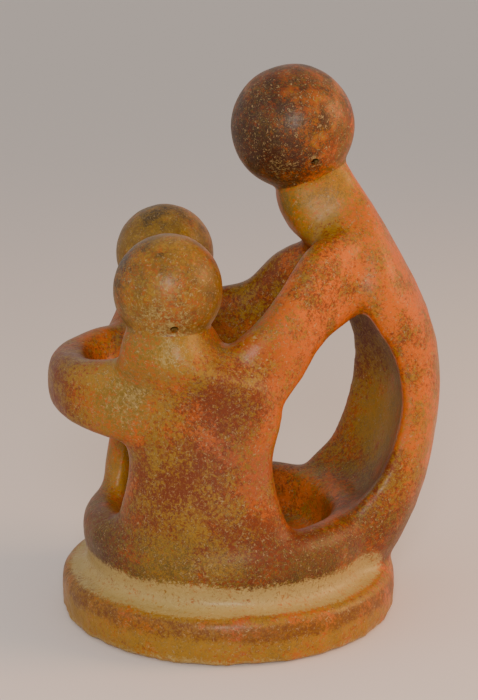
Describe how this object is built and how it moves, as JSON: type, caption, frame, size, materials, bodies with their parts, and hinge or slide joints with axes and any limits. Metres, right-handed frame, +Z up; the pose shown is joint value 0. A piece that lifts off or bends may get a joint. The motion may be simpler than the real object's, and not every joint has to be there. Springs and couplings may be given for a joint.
{
  "type": "clay family sculpture",
  "caption": "Hand-built terracotta sculpture of an adult and children with joined arms, in a ring round a shallow well on a round plinth.",
  "frame": {"origin": "centre of the plinth's flat resting face", "axes": "+Z up, +X towards the adult's side, -Y towards the front child, who has its back to a viewer in front"},
  "size_m": [0.2509, 0.216, 0.3475],
  "materials": {
    "clay_terracotta": "satin",
    "clay_ochre": "satin",
    "clay_umber": "satin",
    "clay_cream": "satin"
  },
  "bodies": {
    "root": {"plinth_floor": "clay_terracotta", "plinth": "clay_cream", "drum_wall": "clay_terracotta", "well_dish": "clay_ochre", "adult_torso": "clay_terracotta", "adult_head": "clay_umber", "adult_near_arm": "clay_terracotta", "adult_far_arm": "clay_terracotta", "front_child_torso": "clay_terracotta", "front_child_head": "clay_ochre", "front_child_near_arm": "clay_terracotta", "front_child_outer_arm": "clay_terracotta", "back_child_torso": "clay_terracotta", "back_child_head": "clay_ochre", "back_child_far_arm": "clay_terracotta", "back_child_outer_arm": "clay_terracotta"}
  },
  "joints": []
}
